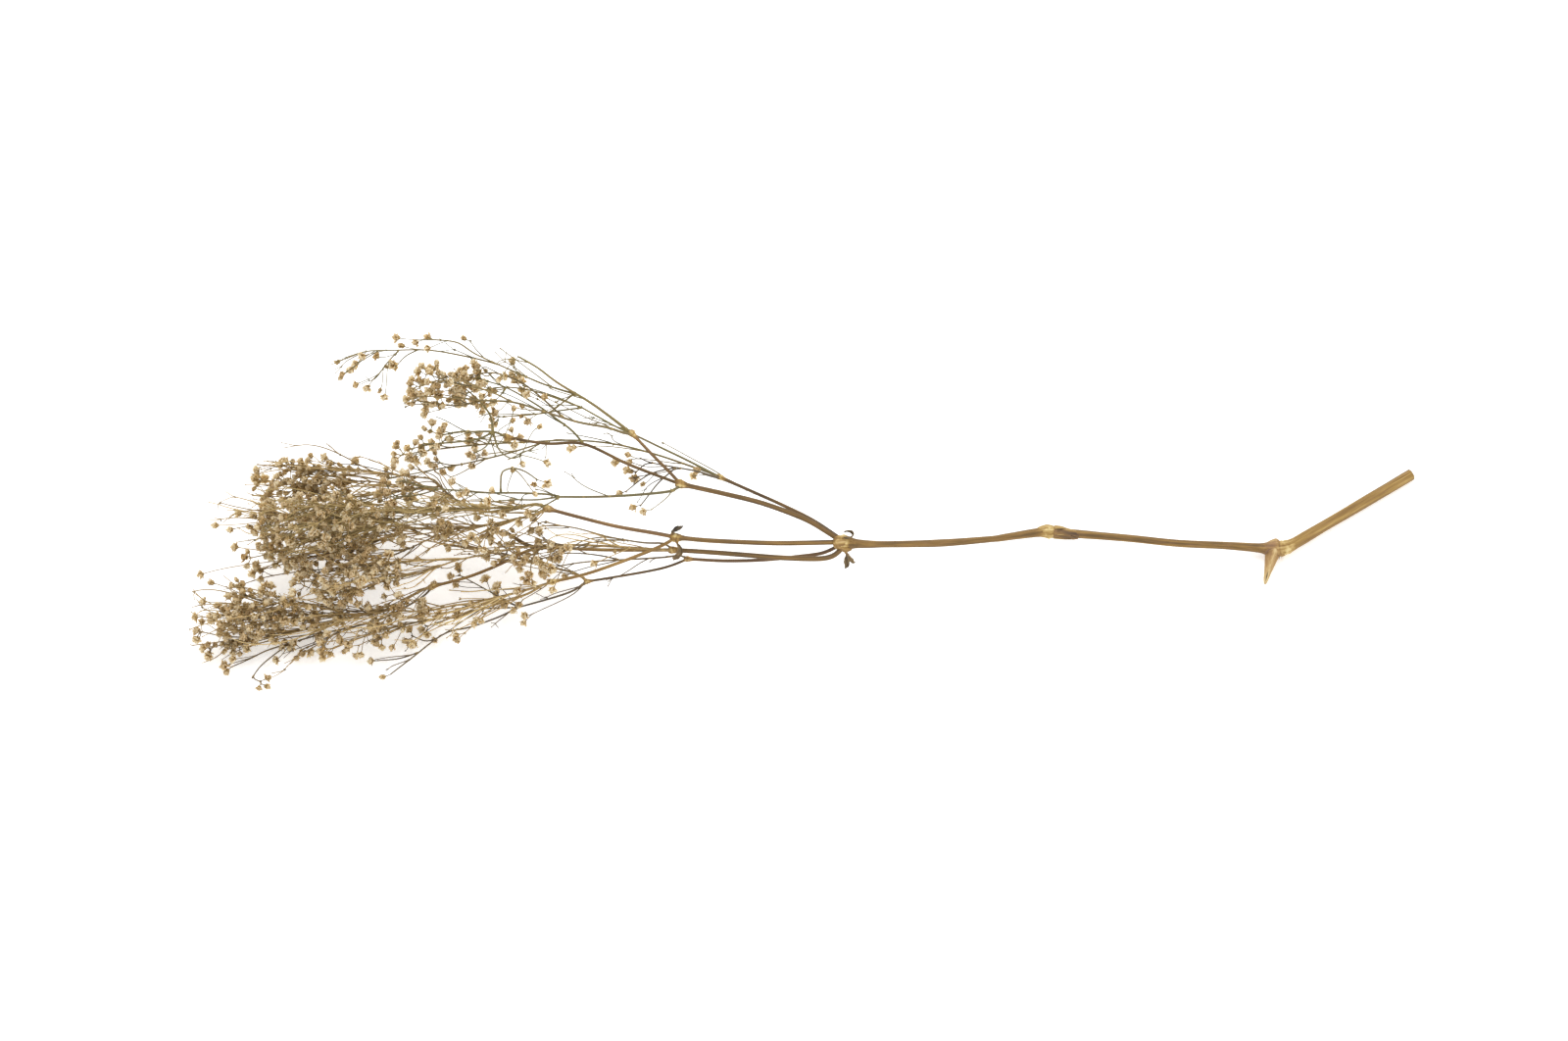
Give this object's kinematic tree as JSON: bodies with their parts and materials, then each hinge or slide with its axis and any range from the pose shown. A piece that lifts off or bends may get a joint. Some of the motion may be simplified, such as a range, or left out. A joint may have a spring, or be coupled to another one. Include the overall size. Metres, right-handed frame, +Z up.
{
  "type": "dried gypsophila stem",
  "caption": "Cut and dried gypsophila stem lying down: woody knuckled stem that forks into wiry branches with airy sprays of small cream florets.",
  "frame": {"origin": "centre of the box round the lying stem, in the plane of the surface that it lies on", "axes": "+X along the stem towards its cut end, +Y across the stem, away from the picture's viewer, +Z up"},
  "size_m": [0.624, 0.1738, 0.0879],
  "materials": {
    "straw_stem": "satin",
    "dried_flowers": "matte",
    "dark_leaf": "matte"
  },
  "bodies": {
    "root": {"main_stem": "straw_stem", "leaf_ring": "dark_leaf", "leaf_folded": "dark_leaf", "leaf_dark_curl": "dark_leaf", "leaf_hanging": "dark_leaf", "spray_a1_tip": "dried_flowers", "spray_a1_twig": "dried_flowers", "spray_a2_upper": "dried_flowers", "spray_a2_lower": "dried_flowers", "spray_a3": "dried_flowers", "spray_b_far": "dried_flowers", "spray_b_side": "dried_flowers", "spray_c1_upper": "dried_flowers", "spray_c1_middle": "dried_flowers", "spray_c1_rise": "dried_flowers", "spray_c2": "dried_flowers", "spray_d1_front": "dried_flowers", "spray_d1_middle": "dried_flowers", "spray_d1_side": "dried_flowers", "spray_d2_thin": "dried_flowers", "spray_d2_middle": "dried_flowers", "spray_d2_left": "dried_flowers", "spray_d2_front": "dried_flowers", "spray_back": "dried_flowers"}
  },
  "joints": []
}
